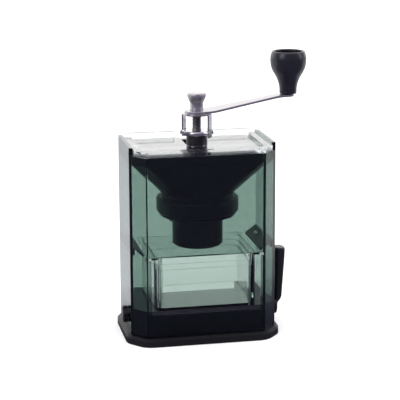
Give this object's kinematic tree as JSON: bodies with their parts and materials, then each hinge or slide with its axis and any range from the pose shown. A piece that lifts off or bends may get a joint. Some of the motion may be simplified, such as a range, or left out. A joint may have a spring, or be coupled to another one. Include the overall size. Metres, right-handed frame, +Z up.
{
  "type": "hand crank coffee grinder",
  "caption": "Box-shaped hand coffee mill: smoked clear body, sliding clear lid, top crank with goblet knob, black hopper, clear drawer, suction base with side lever.",
  "frame": {"origin": "on the table under the spindle's axis, at the bottom of the base", "axes": "+Z up along the spindle, front with the drawer towards -Y, lever on the +X side"},
  "size_m": [0.1679, 0.0886, 0.2408],
  "materials": {
    "smoked_clear": "clear smoked acrylic, moulded and polished",
    "clear_lid": "clear acrylic, moulded and polished",
    "clear_drawer": "clear acrylic with a faint green cast, moulded",
    "base_black": "black ABS, satin moulded",
    "hopper_black": "black ABS, fine moulded grain",
    "knob_black": "black ABS, satin",
    "lever_black": "black ABS, satin moulded",
    "cam_nylon": "natural acetal, moulded",
    "ceramic": "white sintered ceramic",
    "brushed_steel": "brushed stainless steel",
    "polished_steel": "polished stainless steel",
    "spindle_steel": "turned and threaded steel, lightly oiled",
    "screw_steel": "zinc plated steel",
    "bush_brass": "turned brass",
    "pad_rubber": "black moulded rubber"
  },
  "bodies": {
    "housing": {"foot": "base_black", "plinth": "base_black", "foot_screws": "screw_steel", "body_shell": "smoked_clear", "hopper": "hopper_black", "bearing_bridge": "hopper_black", "bridge_screws": "screw_steel", "upper_bush": "bush_brass", "burr_case": "hopper_black", "outer_burr": "ceramic", "chute": "hopper_black", "case_screws": "screw_steel", "lower_bush": "bush_brass", "deflector_left": "base_black", "deflector_right": "base_black", "deflector_screws": "screw_steel"},
    "crank": {"spindle": "spindle_steel", "spindle_clip": "spindle_steel", "inner_burr": "ceramic", "burr_spring": "spindle_steel", "spring_washer": "screw_steel", "grind_nut": "polished_steel", "stopper": "polished_steel", "crank_arm": "brushed_steel", "cap_nut": "brushed_steel", "knob_pin": "screw_steel"},
    "knob": {"knob": "knob_black"},
    "lid": {"lid": "clear_lid"},
    "drawer": {"drawer": "clear_drawer"},
    "lever": {"lever": "lever_black", "lever_pin": "screw_steel", "cam_axle": "spindle_steel", "cam": "cam_nylon", "axle_cap": "lever_black"},
    "suction": {"suction_stem": "cam_nylon", "suction_pad": "pad_rubber"}
  },
  "joints": [
    {"name": "crank_turn", "type": "hinge", "parent": "housing", "child": "crank", "pos_m": [0, 0, 0.19], "axis": [0, 0, 1], "continuous": true},
    {"name": "knob_spin", "type": "hinge", "parent": "crank", "child": "knob", "pos_m": [0.08449, 0.01604, 0.215], "axis": [0, 0, 1], "continuous": true},
    {"name": "lid_slide", "type": "slide", "parent": "housing", "child": "lid", "axis": [0, -1, 0], "range_m": [0, 0.07]},
    {"name": "drawer_slide", "type": "slide", "parent": "housing", "child": "drawer", "axis": [0, -1, 0], "range_m": [0, 0.07]},
    {"name": "lever_turn", "type": "hinge", "parent": "housing", "child": "lever", "pos_m": [0.066, -0.007, 0.02], "axis": [-1, 0, 0], "range_deg": [0, 90]},
    {"name": "suction_lift", "type": "slide", "parent": "housing", "child": "suction", "axis": [0, 0, 1], "range_m": [0, 0.0014]}
  ],
  "couplings": [
    {"joint": "suction_lift", "follows": "lever_turn", "m_per_rad": 0.000891}
  ]
}
